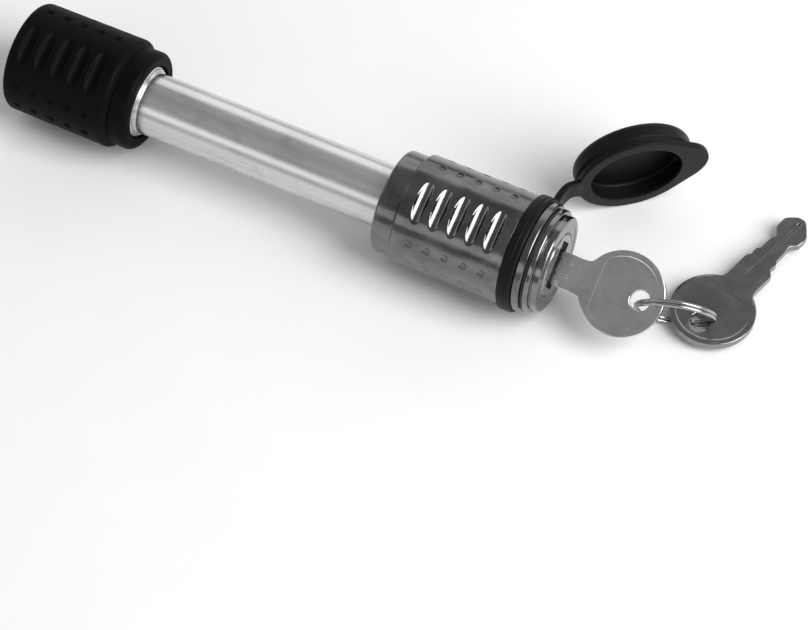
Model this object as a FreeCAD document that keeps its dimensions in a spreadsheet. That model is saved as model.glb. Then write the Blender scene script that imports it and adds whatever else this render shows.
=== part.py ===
import FreeCAD, Part
import math, os, re
import Sketcher

# Hitch pin lock. A 5/8 in receiver pin with a rubber-covered fixed head, and a
# pull-off chrome lock head with a wafer cylinder, a dust cap on a rubber strap
# and two keys on a split ring. Millimetres. +X runs along the pin towards the
# lock head and the key, +Z is up. The origin is on the pin's axis, half way
# along the usable length of the shank. The object lies on a table at z = -14.7.

V = FreeCAD.Vector
doc = FreeCAD.newDocument("hitch_pin_lock")
sheet = doc.addObject("Spreadsheet::Sheet", "dims")

ROWS = [
    # pin
    ("half_span", 33.75), ("shank_rad", 7.9375), ("spigot_rad", 6.0), ("spigot_end", 47.4),
    ("seal_lo", 35.0), ("seal_hi", 36.8), ("seal_floor", 5.0), ("ball_x", 42.6),
    ("core_rad", 10.9), ("core_left", -66.0), ("core_right", -36.2), ("flange_rad", 9.3), ("flange_face", -34.3),
    # grip cover
    ("grip_left", -68.5), ("grip_rad_left", 14.0), ("grip_rad_right", 14.2), ("grip_shoulder", -39.2),
    ("collar_rad", 12.85), ("collar_face", -34.0), ("grip_open_rad", 9.6), ("grip_bore_rad", 11.0),
    # lock body
    ("neck_rad", 13.0), ("neck_end", 39.05), ("body_start", 39.65), ("body_rad", 14.0), ("mouth_rad", 6.1),
    ("mouth_end", 37.75), ("bore_rad", 11.4), ("band_lo", 68.05), ("band_hi", 71.55), ("band_seat_rad", 12.9),
    ("ring_rad", 13.8), ("body_face", 73.55), ("band_rad", 14.7),
    # scooped grooves and dimples
    ("scoop_rad", 1.69), ("scoop_axis", 14.54), ("scoop_len", 16.0), ("scoop_pitch", 4.8), ("scoop_first", 44.3),
    ("grip_scoop_first", -64.15), ("dimple_rad", 1.5), ("dimple_axis", 15.02), ("group_angle", 115.4), ("dimple_angle", 46.5),
    # latch
    ("sleeve_flange_rad", 11.35), ("sleeve_flange_x", 39.25), ("sleeve_rad", 8.5), ("sleeve_end", 48.4),
    ("ball_rad", 2.0), ("ball_free", 8.15), ("ball_throw", 0.8), ("ball_hole_rad", 2.06),
    ("cam_rad", 11.25), ("cam_lo", 39.4), ("cam_hi", 52.4), ("cam_wall", 50.9), ("cam_bore_rad", 8.6), ("cam_gap", 0.06),
    # cylinder
    ("shell_lo", 56.4), ("shell_hi", 73.1), ("shell_rad", 11.35), ("shell_bore_rad", 8.2), ("shell_nose_x", 70.9), ("shell_nose_rad", 9.8),
    ("plug_rad", 8.13), ("plug_lo", 56.3), ("plug_face", 77.55), ("plug_collar_rad", 9.4), ("plug_collar_lo", 73.2), ("plug_collar_hi", 74.5),
    ("tail_rad", 7.2), ("tail_end", 54.2), ("clip_lo", 55.3), ("clip_hi", 56.1), ("clip_root", 6.3), ("clip_rad", 9.2),
    ("keyway_tall", 8.7), ("keyway_wide", 2.1), ("keyway_end", 59.0), ("recess_tall", 12.0), ("recess_wide", 6.0), ("recess_deep", 1.6),
    ("wafer_thick", 1.0), ("wafer_wide", 7.0), ("wafer_tall", 15.5), ("wafer_window_tall", 9.1), ("wafer_window_wide", 2.6),
    ("wafer_first", 61.2), ("wafer_pitch", 2.6), ("wafer_slot", 1.1), ("spring_rad", 0.6), ("spring_bore", 0.35), ("spring_len", 3.0),
    ("tail_bar_thick", 2.5), ("tail_bar_wide", 10.0), ("tail_bar_lo", 50.95), ("tail_bar_hi", 57.1),
    ("set_pin_rad", 1.0), ("set_pin_bore", 0.6), ("set_pin_x", 69.6), ("set_pin_top", 12.85), ("set_pin_root", 9.95),
    # face ring and gasket
    ("face_spigot_x", 71.0), ("face_ring_lo", 74.25), ("face_step_x", 75.7), ("face_rad_a", 13.2), ("face_rad_b", 12.1),
    ("face_notch_rad", 11.9), ("face_bore_rad", 8.25), ("face_counter_rad", 9.95), ("face_counter_x", 74.6),
    # dust cap
    ("cap_rim_rad", 14.73), ("cap_wall_rad", 14.9), ("cap_lip_rad", 11.5), ("cap_hollow_rad", 12.9), ("cap_depth", 6.6), ("cap_floor", 5.2),
    ("cap_rim_thick", 1.5), ("cap_lip_thick", 1.1), ("tab_centre", 9.3), ("tab_rad", 9.0),
    ("strap_wide", 5.2), ("strap_thick", 1.7),
    # keys and ring
    ("bow_rad", 10.5), ("key_thick", 1.9), ("key_hole_rad", 2.5), ("key_hole_off", 4.6), ("bow_drop", 0.65), ("key_tip", 35.9), ("shoulder_top", 3.7), ("shoulder_low", 4.95),
    ("key_bow_x", 94.98), ("key_roll", 32.4), ("groove_wide", 1.2), ("groove_deep", 0.45),
    ("split_rad", 9.773), ("wire_rad", 0.435), ("turn_half", 0.44),
]
for i, (alias, value) in enumerate(ROWS, 1):
    sheet.set("A%d" % i, alias)
    sheet.set("B%d" % i, str(value))
    sheet.setAlias("B%d" % i, alias)
doc.recompute()
S = {alias: float(sheet.get(alias)) for alias, _ in ROWS}


def ex(text):
    """An expression over the sheet's aliases."""
    return re.sub(r"[a-z][a-z_]+[a-z]", lambda m: "dims." + m.group(0) if m.group(0) in S else m.group(0), str(text))


def val(text):
    t = str(text)
    for name in sorted(S, key=len, reverse=True):
        t = re.sub(r"(?<![a-z_])" + name + r"(?![a-z_])", repr(S[name]), t)
    return arithmetic(t)


def arithmetic(t):
    """Sums, differences, products and quotients of plain numbers and brackets."""
    tok = re.findall(r"\d+\.?\d*(?:e-?\d+)?|[-+*/()]", t)
    pos = [0]

    def atom():
        k = tok[pos[0]]
        pos[0] += 1
        if k == "(":
            v = total()
            pos[0] += 1
            return v
        if k == "-":
            return -atom()
        if k == "+":
            return atom()
        return float(k)

    def product():
        v = atom()
        while pos[0] < len(tok) and tok[pos[0]] in "*/":
            k = tok[pos[0]]
            pos[0] += 1
            w = atom()
            v = v * w if k == "*" else v / w
        return v

    def total():
        v = product()
        while pos[0] < len(tok) and tok[pos[0]] in "+-":
            k = tok[pos[0]]
            pos[0] += 1
            w = product()
            v = v + w if k == "+" else v - w
        return v

    return total()


def bind(obj, **props):
    for prop, text in props.items():
        obj.setExpression(prop, ex(text))
    return obj


def plane_of(body, role):
    return [f for f in body.Origin.OriginFeatures if f.Role == role][0]


def outline(body, name, points, role):
    """A closed polygon whose corners are tied to the sheet."""
    sk = body.newObject("Sketcher::SketchObject", name)
    sk.AttachmentSupport = [(plane_of(body, role), "")]
    sk.MapMode = "FlatFace"
    xy = [(val(a), val(b)) for a, b in points]
    n = len(xy)
    for i in range(n):
        p, q = xy[i], xy[(i + 1) % n]
        sk.addGeometry(Part.LineSegment(V(p[0], p[1], 0), V(q[0], q[1], 0)), False)
    for i in range(n):
        sk.addConstraint(Sketcher.Constraint("Coincident", i, 2, (i + 1) % n, 1))
    for i, (a, b) in enumerate(points):
        for kind, text, v in (("DistanceX", a, xy[i][0]), ("DistanceY", b, xy[i][1])):
            k = sk.addConstraint(Sketcher.Constraint(kind, -1, 1, i, 1, v))
            if re.search("[a-z]", str(text)):
                sk.setExpression("Constraints[%d]" % k, ex(text))
    return sk


def turned(name, points):
    """A body turned about the X axis from (x, radius) corners."""
    body = doc.addObject("PartDesign::Body", name)
    sk = outline(body, name + "_profile", points, "XZ_Plane")
    rev = body.newObject("PartDesign::Revolution", name + "_turn")
    rev.Profile = sk
    rev.ReferenceAxis = (sk, ["H_Axis"])
    rev.Angle = 360
    body.Tip = rev
    return body


def along_x(base):
    return FreeCAD.Placement(base, FreeCAD.Rotation(V(0, 1, 0), 90))


def cyl(name, radius, height, placement):
    c = doc.addObject("Part::Cylinder", name)
    bind(c, Radius=radius, Height=height)
    c.Placement = placement
    return c


def box(name, length, width, height, centre, rot=None):
    """A box centred on a point, turned about its own centre."""
    b = doc.addObject("Part::Box", name)
    bind(b, Length=length, Width=width, Height=height)
    rot = rot or FreeCAD.Rotation()
    half = V(val(length) / 2, val(width) / 2, val(height) / 2)
    b.Placement = FreeCAD.Placement(centre - rot.multVec(half), rot)
    return b


def group(name, items):
    c = doc.addObject("Part::Compound", name)
    c.Links = items
    return c


def cut(name, base, tool):
    c = doc.addObject("Part::Cut", name)
    c.Base = base
    c.Tool = tool
    return c


def fuse(name, items):
    f = doc.addObject("Part::MultiFuse", name)
    f.Shapes = items
    return f


def frame_rotation(x, y, z):
    """The rotation that carries the axes to three perpendicular unit vectors."""
    m = FreeCAD.Matrix(x.x, y.x, z.x, 0, x.y, y.y, z.y, 0, x.z, y.z, z.z, 0, 0, 0, 0, 1)
    return FreeCAD.Placement(m).Rotation


NODES = []


def node(label, obj):
    obj.Label = label
    NODES.append((label, obj))
    return obj


ROLL = math.radians(S["key_roll"])
TALL = V(0, math.cos(ROLL), math.sin(ROLL))      # along the key's height
FLAT = V(0, -math.sin(ROLL), math.cos(ROLL))     # square to the key's flat side
KEY_ROT = frame_rotation(V(1, 0, 0), TALL, FLAT)


def pattern(name, first):
    """Three groups of five scooped grooves, and a row of dimples on each side of a group."""
    tools = []
    for g in range(3):
        mid = S["group_angle"] + 120.0 * g
        for i in range(5):
            x = S[first] + i * S["scoop_pitch"]
            a = math.radians(mid)
            out, side = V(0, math.cos(a), math.sin(a)), V(0, -math.sin(a), math.cos(a))
            rot = frame_rotation(out, V(1, 0, 0).multiply(-1), side)
            base = V(x, 0, 0) + out * S["scoop_axis"] - side * (S["scoop_len"] / 2)
            tools.append(cyl("%s_scoop_%d%d" % (name, g, i), "scoop_rad", "scoop_len", FreeCAD.Placement(base, rot)))
            for s in (-1, 1):
                d = math.radians(mid + s * S["dimple_angle"])
                ball = doc.addObject("Part::Sphere", "%s_dimple_%d%d%s" % (name, g, i, "ab"[s > 0]))
                bind(ball, Radius="dimple_rad")
                ball.Placement.Base = V(x, S["dimple_axis"] * math.cos(d), S["dimple_axis"] * math.sin(d))
                tools.append(ball)
    return group(name + "_tools", tools)


# --- pin: fixed head core, stepped flange, shank, spigot with seal and ball grooves ---
pin = turned("pin_body", [
    ("core_left", "0"), ("core_left", "core_rad-1"), ("core_left+1", "core_rad"), ("core_right", "core_rad"),
    ("core_right", "flange_rad"), ("flange_face", "flange_rad"), ("flange_face", "flange_rad-0.5"),
    ("flange_face+0.3", "flange_rad-0.5"), ("flange_face+0.3", "flange_rad-0.9"), ("-half_span", "flange_rad-0.9"),
    ("-half_span", "shank_rad"), ("half_span", "shank_rad"), ("half_span", "spigot_rad"), ("seal_lo", "spigot_rad"),
    ("seal_lo", "seal_floor"), ("seal_hi", "seal_floor"), ("seal_hi", "spigot_rad"),
    ("ball_x-2.3", "spigot_rad"), ("ball_x-1.5", "spigot_rad-1.0"), ("ball_x+1.5", "spigot_rad-1.0"), ("ball_x+2.3", "spigot_rad"),
    ("spigot_end-1.6", "spigot_rad"), ("spigot_end", "spigot_rad-1.6"), ("spigot_end", "0"),
])
node("pin_shaft", pin)

# --- rubber grip cover, a closed cup with a collar and a lipped opening ---
grip = turned("grip_blank", [
    ("grip_left", "0"), ("grip_left", "grip_rad_left-1.8"), ("grip_left+0.3", "grip_rad_left-0.9"),
    ("grip_left+0.85", "grip_rad_left-0.3"), ("grip_left+1.8", "grip_rad_left"), ("grip_shoulder-2.2", "grip_rad_right"),
    ("grip_shoulder-1.0", "grip_rad_right-0.3"), ("grip_shoulder-0.3", "grip_rad_right-0.9"), ("grip_shoulder", "collar_rad-0.3"),
    ("grip_shoulder+0.35", "collar_rad"), ("collar_face-1.8", "collar_rad"), ("collar_face-0.6", "collar_rad-0.5"),
    ("collar_face", "collar_rad-1.7"), ("collar_face", "grip_open_rad"), ("core_right+0.1", "grip_open_rad"),
    ("core_right+0.1", "grip_bore_rad"), ("core_left-0.1", "grip_bore_rad"), ("core_left-0.1", "0"),
])
node("grip_cover", cut("grip_cut", grip, pattern("grip", "grip_scoop_first")))

# --- lock body: neck, barrel, seat for the band, rim ring, one bore from the right ---
shell = turned("lock_blank", [
    ("half_span+0.03", "mouth_rad"), ("half_span+0.03", "neck_rad-0.6"), ("half_span+0.63", "neck_rad"), ("neck_end", "neck_rad"),
    ("body_start", "body_rad"), ("band_lo-0.4", "body_rad"), ("band_lo", "body_rad-0.4"), ("band_lo", "band_seat_rad"),
    ("band_hi", "band_seat_rad"), ("band_hi", "ring_rad-0.2"), ("band_hi+0.3", "ring_rad"), ("body_face-0.5", "ring_rad"),
    ("body_face", "ring_rad-0.4"), ("body_face", "bore_rad"), ("mouth_end", "bore_rad"), ("mouth_end", "mouth_rad"),
])
pin_dir = FreeCAD.Rotation(V(0, 0, 1), FLAT)
set_hole = cyl("set_pin_hole", "set_pin_rad", "6", FreeCAD.Placement(V(S["set_pin_x"], 0, 0) + FLAT * 9.0, pin_dir))
node("lock_body", cut("lock_cut", shell, group("lock_tools", [pattern("lock", "scoop_first"), set_hole])))

# --- ball sleeve: a flanged bush round the spigot with two radial holes ---
sleeve = turned("sleeve_blank", [
    ("mouth_end", "mouth_rad"), ("mouth_end", "sleeve_flange_rad"), ("sleeve_flange_x", "sleeve_flange_rad"),
    ("sleeve_flange_x", "sleeve_rad"), ("sleeve_end", "sleeve_rad"), ("sleeve_end", "mouth_rad"),
])
ball_hole = cyl("ball_hole", "ball_hole_rad", "24", FreeCAD.Placement(V(S["ball_x"], 0, -12), FreeCAD.Rotation()))
node("ball_sleeve", cut("sleeve_cut", sleeve, ball_hole))

for tag, s in (("a", 1), ("b", -1)):
    ball = doc.addObject("Part::Sphere", "latch_ball_" + tag)
    bind(ball, Radius="ball_rad")
    ball.Placement.Base = V(S["ball_x"], 0, s * S["ball_free"])
    node("latch_ball_" + tag, ball)

# --- cam cup: two spiral pockets press the balls inwards as it turns a quarter turn ---
cam = turned("cam_blank", [
    ("cam_lo", "cam_bore_rad"), ("cam_lo", "cam_rad"), ("cam_hi", "cam_rad"), ("cam_hi", "0"), ("cam_wall", "0"), ("cam_wall", "cam_bore_rad"),
])


def spiral_pocket(side):
    """Pocket wall: radius falls evenly with angle, one ball throw in a quarter turn."""
    k = S["ball_throw"] / (math.pi / 2)
    start = side * math.pi / 2
    pts = []
    for i in range(41):
        # the cam turns forwards, so the ball meets wall that lies behind it
        a = math.radians(24 - i * (24 + 90 + 16) / 40.0)
        r = S["ball_free"] + S["ball_rad"] + S["cam_gap"] + k * min(a, 0.0)
        pts.append(V(0, r * math.cos(start + a), r * math.sin(start + a)))
    curve = Part.BSplineCurve()
    curve.interpolate(pts)
    wall = curve.toShape()
    a0, a1 = pts[0], pts[-1]
    in0, in1 = a0 * (7.0 / a0.Length), a1 * (7.0 / a1.Length)
    wire = Part.Wire([wall, Part.makeLine(a1, in1), Part.makeLine(in1, in0), Part.makeLine(in0, a0)])
    solid = Part.Face(wire).extrude(V(5.6, 0, 0))
    solid.translate(V(S["cam_lo"] - 0.2, 0, 0))
    return solid


pocket = doc.addObject("Part::Feature", "cam_pockets")
pocket.Shape = Part.makeCompound([spiral_pocket(1), spiral_pocket(-1)])
pocket.Placement = FreeCAD.Placement()
cam_slot = box("cam_slot", "4", "tail_bar_wide+0.1", "tail_bar_thick+0.1", V(51.6, 0, 0), KEY_ROT)
node("cam_ring", cut("cam_cut", cam, group("cam_tools", [pocket, cam_slot])))

node("tail_bar", box("tail_bar_block", "tail_bar_hi-tail_bar_lo", "tail_bar_wide", "tail_bar_thick",
                     V((S["tail_bar_hi"] + S["tail_bar_lo"]) / 2, 0, 0), KEY_ROT))

# --- cylinder shell with two wafer channels ---
cylinder = turned("shell_blank", [
    ("shell_lo", "shell_bore_rad"), ("shell_lo", "shell_rad"), ("shell_nose_x", "shell_rad"), ("shell_nose_x", "shell_nose_rad"),
    ("shell_hi", "shell_nose_rad"), ("shell_hi", "shell_bore_rad"),
])
chan = [box("channel_" + t, "14.2", "2.6", "wafer_wide+0.3", V(66.0, 0, 0) + TALL * (s * 8.1), KEY_ROT) for t, s in (("a", 1), ("b", -1))]
shell_pin = cyl("shell_pin_hole", "set_pin_rad", "6", FreeCAD.Placement(V(S["set_pin_x"], 0, 0) + FLAT * S["set_pin_root"], pin_dir))
node("cylinder_shell", cut("shell_cut", cylinder, group("shell_tools", chan + [shell_pin])))

# --- plug with keyway, mouth recess, wafer slots, spring pockets and rear slot ---
plug = turned("plug_blank", [
    ("tail_end", "0"), ("tail_end", "tail_rad"), ("clip_lo", "tail_rad"), ("clip_lo", "clip_root"), ("clip_hi", "clip_root"),
    ("clip_hi", "tail_rad"), ("plug_lo", "tail_rad"), ("plug_lo", "plug_rad"), ("plug_collar_lo", "plug_rad"),
    ("plug_collar_lo", "plug_collar_rad"), ("plug_collar_hi", "plug_collar_rad"), ("plug_collar_hi", "plug_rad"),
    ("plug_face-0.35", "plug_rad"), ("plug_face", "plug_rad-0.35"), ("plug_face", "0"),
])
keyway_len = S["plug_face"] + 1 - S["keyway_end"]
tools = [
    box("keyway", "plug_face+1-keyway_end", "keyway_tall", "keyway_wide", V(S["keyway_end"] + keyway_len / 2, 0, 0), KEY_ROT),
    box("mouth_recess", "recess_deep*2", "recess_tall", "recess_wide", V(S["plug_face"], 0, 0), KEY_ROT),
    box("rear_slot", "6", "20", "tail_bar_thick+0.1", V(S["tail_bar_hi"] + 0.1 - 3, 0, 0), KEY_ROT),
]
wafer_x = [S["wafer_first"] + i * S["wafer_pitch"] for i in range(5)]
for i, x in enumerate(wafer_x):
    tools.append(box("wafer_slot_%d" % i, "wafer_slot", "20", "wafer_wide+0.15", V(x, 0, 0), KEY_ROT))
    tools.append(box("spring_pocket_%d" % i, "1.4", "5.0", "1.9", V(x, 0, 0) + FLAT * 4.4 + TALL * -1.0, KEY_ROT))
node("plug", cut("plug_cut", plug, group("plug_tools", tools)))

# --- wafers: round-ended plates with a window and a side hook, and their springs ---
plates, springs = [], []
for i, x in enumerate(wafer_x):
    disc = cyl("wafer_disc_%d" % i, "plug_rad-0.13", "wafer_thick", along_x(V(x - S["wafer_thick"] / 2, 0, 0)))
    strip = box("wafer_strip_%d" % i, "wafer_thick", "wafer_tall", "wafer_wide", V(x, 0, 0), KEY_ROT)
    common = doc.addObject("Part::Common", "wafer_round_%d" % i)
    common.Base, common.Tool = disc, strip
    hook = box("wafer_hook_%d" % i, "wafer_thick", "0.9", "2.0", V(x, 0, 0) + FLAT * 4.2 + TALL * 0.95, KEY_ROT)
    window = box("wafer_window_%d" % i, "wafer_thick*3", "wafer_window_tall", "wafer_window_wide", V(x, 0, 0), KEY_ROT)
    plates.append(cut("wafer_%d" % i, fuse("wafer_blank_%d" % i, [common, hook]), window))
    up = FreeCAD.Rotation(V(0, 0, 1), TALL)
    at = V(x, 0, 0) + FLAT * 4.5 + TALL * (0.45 - S["spring_len"])
    coil = cyl("spring_coil_%d" % i, "spring_rad", "spring_len", FreeCAD.Placement(at, up))
    core = cyl("spring_core_%d" % i, "spring_bore", "spring_len", FreeCAD.Placement(at, up))
    springs.append(cut("spring_%d" % i, coil, core))
node("wafers", group("wafer_set", plates))
node("wafer_springs", group("spring_set", springs))

# --- spring clip behind the shell, open over a sixth of a turn ---
clip = turned("clip_blank", [
    ("clip_lo+0.05", "clip_root+0.05"), ("clip_lo+0.05", "clip_rad"), ("clip_hi-0.05", "clip_rad"), ("clip_hi-0.05", "clip_root+0.05"),
])
clip_gap = box("clip_gap", "4", "6", "12", V(55.7, 0, 0) + FLAT * -9.0, KEY_ROT)
node("plug_clip", cut("clip_cut", clip, clip_gap))

# --- rolled set pin that holds the shell in the body, under the band ---
pin_at = V(S["set_pin_x"], 0, 0) + FLAT * S["set_pin_root"]
roll = cyl("set_pin_outer", "set_pin_rad-0.01", "set_pin_top-set_pin_root", FreeCAD.Placement(pin_at, pin_dir))
roll_bore = cyl("set_pin_inner", "set_pin_bore", "8", FreeCAD.Placement(pin_at - FLAT, pin_dir))
roll_slit = box("set_pin_slit", "2.4", "0.25", "8", pin_at + FLAT * 2 + V(1.2, 0, 0), KEY_ROT)
node("set_pin", cut("set_pin_cut", roll, group("set_pin_tools", [roll_bore, roll_slit])))

# --- face ring: spigot in the bore, two stepped rings round the plug ---
face = turned("face_ring_body", [
    ("face_spigot_x", "face_counter_rad"), ("face_spigot_x", "shell_rad"), ("face_ring_lo", "shell_rad"), ("face_ring_lo", "face_rad_a-0.2"),
    ("face_ring_lo+0.3", "face_rad_a"), ("face_step_x-0.5", "face_rad_a"), ("face_step_x-0.1", "face_rad_a-0.5"), ("face_step_x-0.1", "face_notch_rad"),
    ("face_step_x+0.25", "face_notch_rad"), ("face_step_x+0.4", "face_rad_b"), ("plug_face-0.4", "face_rad_b"), ("plug_face", "face_rad_b-0.25"),
    ("plug_face", "face_bore_rad"), ("face_counter_x", "face_bore_rad"), ("face_counter_x", "face_counter_rad"),
])
node("face_ring", face)
gasket = turned("gasket_body", [
    ("body_face", "shell_rad+0.05"), ("body_face", "band_seat_rad"), ("face_ring_lo", "band_seat_rad"), ("face_ring_lo", "shell_rad+0.05"),
])
node("face_gasket", gasket)

# --- shaft seal on the spigot ---
seal = turned("seal_body", [
    ("seal_lo+0.05", "seal_floor+0.35"), ("seal_lo+0.35", "seal_floor+0.05"), ("seal_hi-0.35", "seal_floor+0.05"), ("seal_hi-0.05", "seal_floor+0.35"),
    ("seal_hi-0.05", "spigot_rad-0.25"), ("seal_hi-0.35", "spigot_rad+0.04"), ("seal_lo+0.35", "spigot_rad+0.04"), ("seal_lo+0.05", "spigot_rad-0.25"),
])
node("shaft_seal", seal)

# --- rubber band, strap and dust cap ---
band = turned("band_body", [
    ("band_lo+0.02", "band_seat_rad"), ("band_lo+0.02", "band_rad-0.5"), ("band_lo+0.4", "band_rad"), ("band_hi-0.4", "band_rad"),
    ("band_hi-0.02", "band_rad-0.5"), ("band_hi-0.02", "band_seat_rad"),
])
node("cap_band", band)

strap_body = doc.addObject("PartDesign::Body", "strap_blank")
mid = [(69.8, 13.6), (69.8, 15.6), (69.75, 17.6), (69.95, 19.6), (70.5, 21.5), (71.45, 23.05)]
left, right = [], []
for i, p in enumerate(mid):
    a, b = mid[max(i - 1, 0)], mid[min(i + 1, len(mid) - 1)]
    d = math.hypot(b[0] - a[0], b[1] - a[1])
    nx, ny = -(b[1] - a[1]) / d, (b[0] - a[0]) / d
    left.append(("%.4f%+.4f*strap_thick" % (p[0], nx / 2), "%.4f%+.4f*strap_thick" % (p[1], ny / 2)))
    right.append(("%.4f%+.4f*strap_thick" % (p[0], -nx / 2), "%.4f%+.4f*strap_thick" % (p[1], -ny / 2)))
strap_sk = outline(strap_body, "strap_outline", left + right[::-1], "XY_Plane")
strap_pad = strap_body.newObject("PartDesign::Pad", "strap_pad")
strap_pad.Profile = strap_sk
strap_pad.Midplane = True
bind(strap_pad, Length="strap_wide")
strap_body.Tip = strap_pad
band_round = cyl("band_round", "band_rad", "10", along_x(V(64.8, 0, 0)))
node("cap_strap", cut("strap_cut", strap_body, band_round))

cap = turned("cap_blank", [
    ("0", "cap_lip_rad"), ("0", "cap_rim_rad-0.35"), ("0.35", "cap_rim_rad"), ("cap_rim_thick-0.3", "cap_rim_rad"), ("cap_rim_thick", "cap_rim_rad-0.4"),
    ("cap_rim_thick+0.3", "cap_rim_rad-0.4"), ("cap_rim_thick+0.8", "cap_wall_rad"),
    ("cap_depth-1.9", "cap_wall_rad"), ("cap_depth-1.0", "cap_wall_rad-0.35"), ("cap_depth-0.35", "cap_wall_rad-1.0"), ("cap_depth", "cap_wall_rad-2.2"),
    ("cap_depth", "0"), ("cap_floor", "0"), ("cap_floor", "cap_hollow_rad-0.9"), ("cap_floor-0.7", "cap_hollow_rad"),
    ("cap_lip_thick", "cap_hollow_rad"), ("cap_lip_thick", "cap_lip_rad"),
])
tab_body = doc.addObject("PartDesign::Body", "tab_blank")
lobe = [math.radians(a) for a in range(-52, 53, 8)]
tab_sk = outline(tab_body, "tab_outline", [("-(tab_centre+%.5f*tab_rad)" % math.cos(a), "%.5f*tab_rad" % math.sin(a)) for a in lobe] + [
    ("-%.5f*(cap_rim_rad-0.05)" % math.cos(lobe[-1]), "%.5f*(cap_rim_rad-0.05)" % math.sin(lobe[-1]))] + [
    ("-%.5f*(cap_lip_rad+1.2)" % math.cos(a), "%.5f*(cap_lip_rad+1.2)" % math.sin(a)) for a in lobe[::-1]] + [
    ("-%.5f*(cap_rim_rad-0.05)" % math.cos(lobe[-1]), "-%.5f*(cap_rim_rad-0.05)" % math.sin(lobe[-1]))], "YZ_Plane")
tab_pad = tab_body.newObject("PartDesign::Pad", "tab_pad")
tab_pad.Profile = tab_sk
bind(tab_pad, Length="cap_rim_thick-0.2")
tab_body.Tip = tab_pad
dust = fuse("cap_fuse", [cap, tab_body])
# open pose: cap axis, strap side and third axis
CX = V(-0.642, 0.751, 0.154).normalize()
CY = V(-0.78, -0.63, -0.10)
CY = (CY - CX * CX.dot(CY)).normalize()
CZ = CX.cross(CY)
dust.Placement = FreeCAD.Placement(V(83.47, 33.26, 0.0), frame_rotation(CX, CY, CZ))
node("dust_cap", dust)


# --- keys: round bow with a hole, double-sided blade, milled grooves ---
def key(tag, placement):
    body = doc.addObject("PartDesign::Body", tag + "_body")
    sk = body.newObject("Sketcher::SketchObject", tag + "_bow_sketch")
    sk.AttachmentSupport = [(plane_of(body, "XY_Plane"), "")]
    sk.MapMode = "FlatFace"
    sk.addGeometry(Part.Circle(V(0, -S["bow_drop"], 0), V(0, 0, 1), S["bow_rad"]), False)
    sk.addConstraint(Sketcher.Constraint("PointOnObject", 0, 3, -2))
    k = sk.addConstraint(Sketcher.Constraint("DistanceY", 0, 3, -1, 1, S["bow_drop"]))
    sk.setExpression("Constraints[%d]" % k, ex("bow_drop"))
    k = sk.addConstraint(Sketcher.Constraint("Radius", 0, S["bow_rad"]))
    sk.setExpression("Constraints[%d]" % k, ex("bow_rad"))
    bow = body.newObject("PartDesign::Pad", tag + "_bow")
    bow.Profile = sk
    bow.Midplane = True
    bind(bow, Length="key_thick")
    blade_sk = outline(body, tag + "_blade_sketch", [
        ("8.2", "5.0"), ("9.3", "4.15"), ("10.2", "shoulder_top+0.1"), ("12.0", "shoulder_top"), ("17.3", "shoulder_top+0.2"), ("18.2", "shoulder_top+0.1"), ("19.4", "3.0"), ("20.4", "3.3"),
        ("21.4", "3.3"), ("22.4", "2.5"), ("26.4", "2.7"), ("27.4", "1.95"), ("28.3", "2.25"), ("29.9", "3.7"), ("33.0", "3.95"), ("34.3", "3.05"), ("35.4", "1.8"), ("key_tip", "0.8"),
        ("key_tip", "-0.7"), ("34.2", "-2.3"), ("32.1", "-4.0"), ("28.9", "-4.05"), ("27.3", "-2.6"), ("26.1", "-2.55"), ("25.0", "-2.75"),
        ("21.9", "-2.85"), ("20.6", "-3.6"), ("18.9", "-3.4"), ("17.9", "-4.05"), ("17.3", "-shoulder_low+0.2"), ("12.0", "-shoulder_low"), ("10.2", "-shoulder_low-0.1"), ("9.3", "-5.45"), ("8.2", "-6.3"),
    ], "XY_Plane")
    blade = body.newObject("PartDesign::Pad", tag + "_blade")
    blade.Profile = blade_sk
    blade.Midplane = True
    bind(blade, Length="key_thick")
    body.Tip = blade
    hole = cyl(tag + "_hole", "key_hole_rad", "6", FreeCAD.Placement(V(-S["key_hole_off"], 0.05 - S["bow_drop"], -3), FreeCAD.Rotation()))
    t = S["key_thick"] / 2
    top = box(tag + "_groove_mid", "30", "groove_wide", "groove_deep*2", V(28.2, 0.1, t))
    low = [box(tag + "_groove_" + c, "30", "groove_wide*0.75", "groove_deep*2", V(28.6, y, -t)) for c, y in (("a", 1.7), ("b", -2.0))]
    k = cut(tag + "_cut", body, group(tag + "_tools", [hole, top] + low))
    k.Placement = placement
    return k


k1_rot = frame_rotation(V(-1, 0, 0), TALL, V(-1, 0, 0).cross(TALL))
node("key_1", key("key_one", FreeCAD.Placement(V(S["key_bow_x"], 0, 0), k1_rot)))
a2 = math.radians(74.0)
k2_rot = frame_rotation(V(math.cos(a2), math.sin(a2), 0), V(-math.sin(a2), math.cos(a2), 0), V(0, 0, 1))
node("key_2", key("key_two", FreeCAD.Placement(V(113.055, 12.519, -11.78), k2_rot)))

# --- split ring: two turns of wire side by side ---
RN = V(0.2514, -0.8832, -0.396).normalize()
RC = V(107.414, 3.288, -5.036)
turns = []
for t, s in (("a", 1), ("b", -1)):
    tor = doc.addObject("Part::Torus", "ring_turn_" + t)
    bind(tor, Radius1="split_rad", Radius2="wire_rad+0.02")
    tor.Placement = FreeCAD.Placement(RC + RN * (s * S["turn_half"]), FreeCAD.Rotation(V(0, 0, 1), RN))
    turns.append(tor)
node("split_ring", fuse("ring_fuse", turns))

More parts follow.
